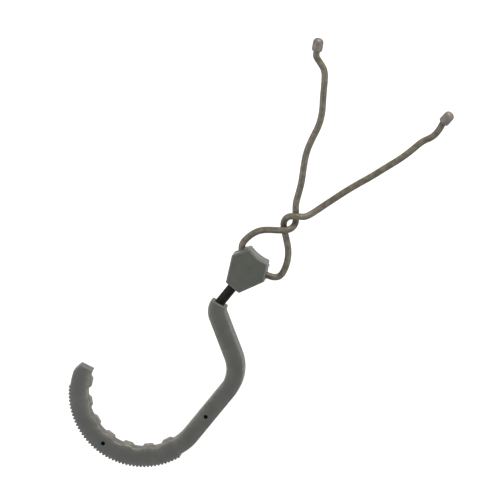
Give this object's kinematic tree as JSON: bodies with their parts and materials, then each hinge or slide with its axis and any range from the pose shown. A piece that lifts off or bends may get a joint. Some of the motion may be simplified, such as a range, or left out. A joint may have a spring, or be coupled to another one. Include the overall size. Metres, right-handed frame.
{
  "type": "swivelling utility hook",
  "caption": "Rubber-covered J-shaped hook with grip pads and outer teeth, swivelling on a flat two-shell head with a bendable wire tie for hanging.",
  "frame": {"origin": "on the flat back of the head, level with the swivel axis and halfway up the head", "axes": "+Z from the back to the front, +Y up the swivel axis from the hook towards the tie, +X towards the hook's shank"},
  "size_m": [0.1325, 0.4003, 0.018],
  "materials": {
    "head_plastic": "fine spark texture, dark warm grey",
    "screw_steel": "black zinc",
    "bush_acetal": "natural acetal",
    "washer_steel": "bright",
    "ring_steel": "oiled spring steel",
    "black_steel": "black oxide, satin",
    "cover_rubber": "moulded, matt dark grey",
    "tie_rubber": "extruded, olive taupe",
    "tie_wire": "galvanised",
    "cap_rubber": "moulded, warm grey"
  },
  "bodies": {
    "head": {"front_shell": "head_plastic", "back_shell": "head_plastic", "shell_screws": "screw_steel", "swivel_bush": "bush_acetal", "tie_left": "tie_rubber", "tie_right": "tie_rubber", "tie_wire_left": "tie_wire", "tie_wire_right": "tie_wire", "tie_cap_left": "cap_rubber", "tie_cap_right": "cap_rubber"},
    "hook": {"hook_core": "black_steel", "hook_cover": "cover_rubber", "thrust_washer": "washer_steel", "retaining_ring": "ring_steel"}
  },
  "joints": [
    {"name": "hook_swivel", "type": "hinge", "parent": "head", "child": "hook", "pos_m": [0, -0.012, 0.009], "axis": [0, 1, 0], "continuous": true}
  ]
}
